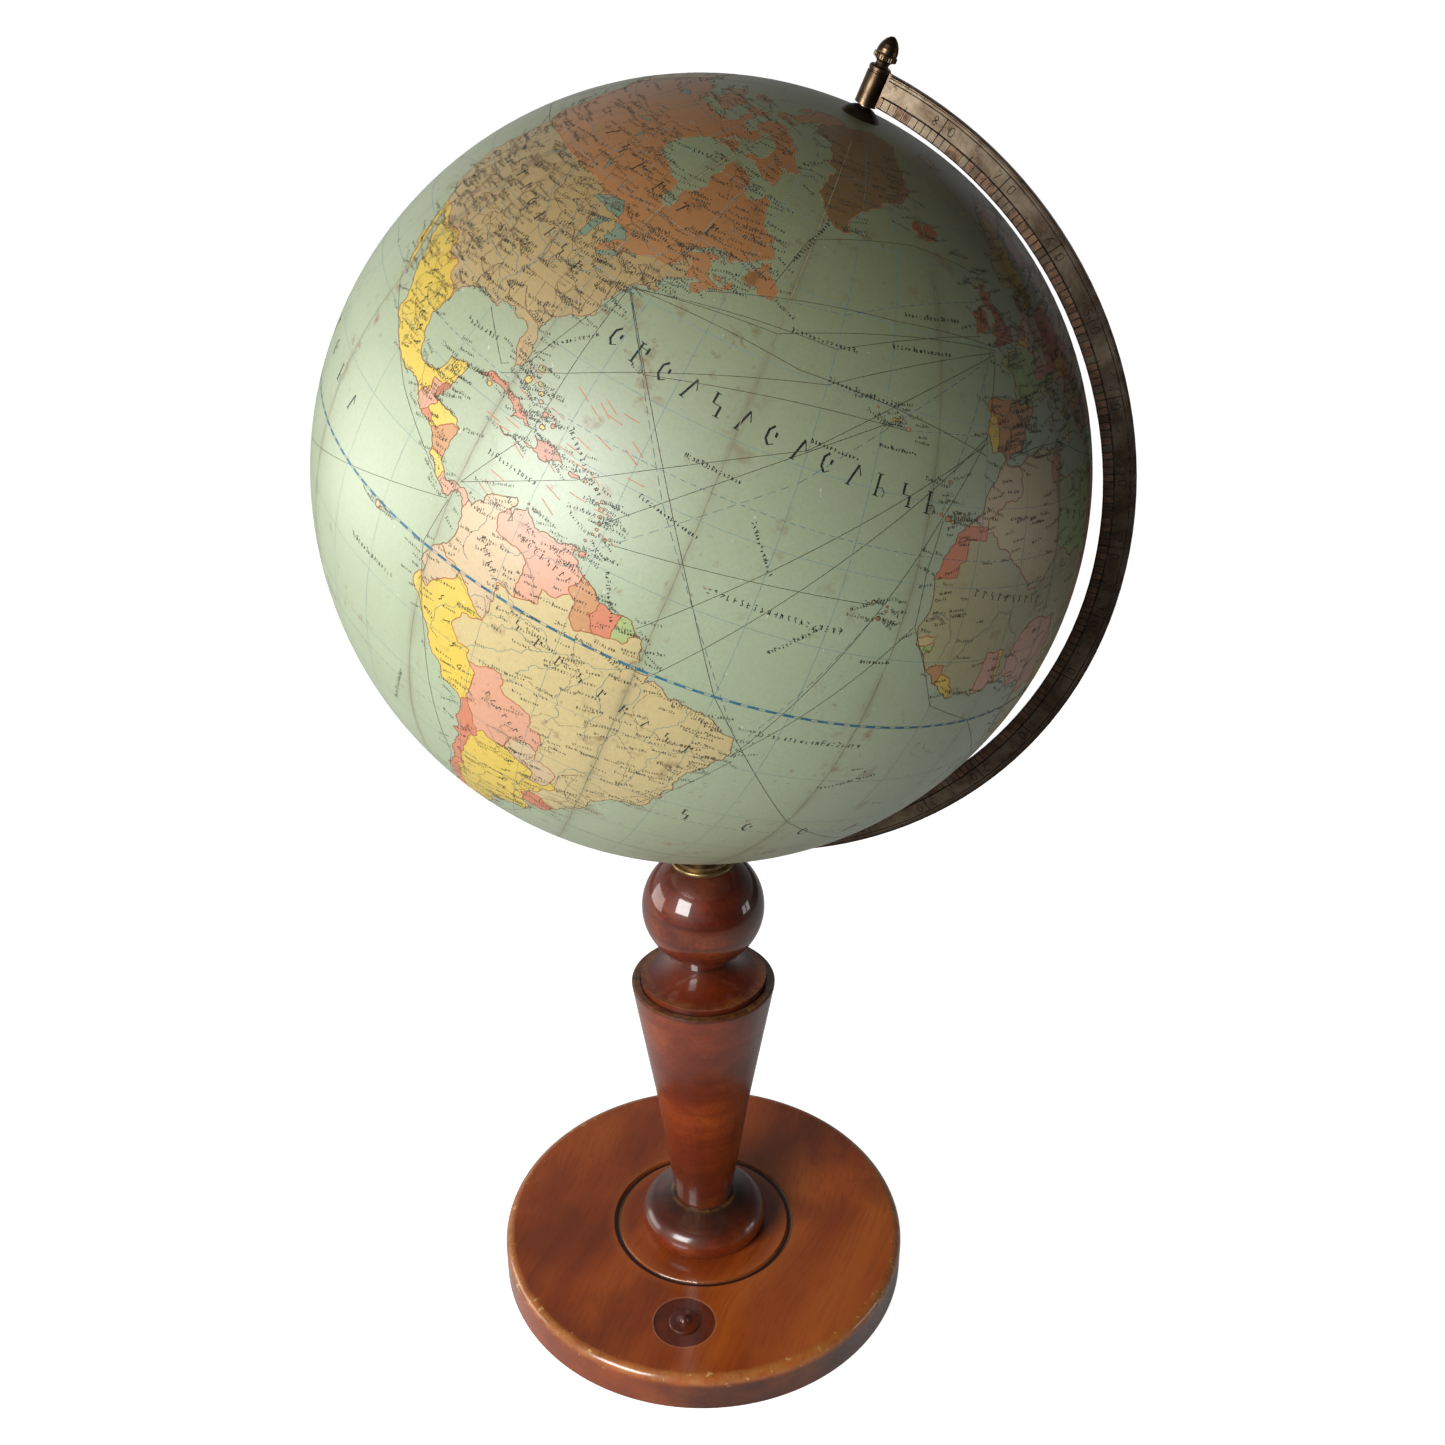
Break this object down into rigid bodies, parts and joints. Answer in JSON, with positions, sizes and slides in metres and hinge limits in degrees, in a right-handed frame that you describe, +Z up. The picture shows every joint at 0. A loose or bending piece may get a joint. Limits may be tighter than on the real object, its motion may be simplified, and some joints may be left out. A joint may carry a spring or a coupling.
{
  "type": "desktop globe on stand",
  "caption": "Desktop globe spinning on a tilted axle in a brass half meridian, on a turned wooden column with a round base.",
  "frame": {"origin": "centre of the underside of the base, on the table", "axes": "+Z up along the column, +X towards the side the north end of the axle leans to, which carries the half meridian"},
  "size_m": [0.348, 0.33, 0.6305],
  "materials": {
    "base_wood": "glossy varnish, worn at the edges",
    "plug_wood": "glossy varnish",
    "dark_wood": "glossy varnish",
    "column_wood": "glossy varnish",
    "ball_wood": "glossy varnish",
    "plain_wood": "raw",
    "felt": "felt",
    "steel": "dull",
    "brass": "aged",
    "meridian_brass": "aged, engraved",
    "sleeve_brass": "bronzed, rubbed",
    "dark_brass": "dark patina",
    "board": "pasteboard",
    "map_paper": "printed and varnished"
  },
  "bodies": {
    "stand": {"base_disc": "base_wood", "base_felt": "felt", "base_plug": "plug_wood", "base_screw": "steel", "base_washer": "steel", "foot_cushion": "dark_wood", "column": "column_wood", "ball_top": "ball_wood", "ferrule": "brass", "clamp_stud": "steel", "meridian_grip": "brass", "grip_screw": "steel", "grip_nut": "steel", "meridian_band": "meridian_brass", "north_sleeve": "sleeve_brass", "south_sleeve": "sleeve_brass", "axle_rod": "steel", "finial": "sleeve_brass", "south_nut": "sleeve_brass"},
    "globe": {"north_cap": "dark_brass", "south_cap": "dark_brass", "north_block": "plain_wood", "south_block": "plain_wood", "inner_post": "plain_wood", "joint_band": "board", "shell_north": "board", "shell_south": "board", "map_gores": "map_paper", "polar_discs": "map_paper"}
  },
  "joints": [
    {"name": "globe_spin", "type": "hinge", "parent": "stand", "child": "globe", "pos_m": [0, 0, 0.4505], "axis": [0.3843, 0, 0.9232], "continuous": true}
  ]
}
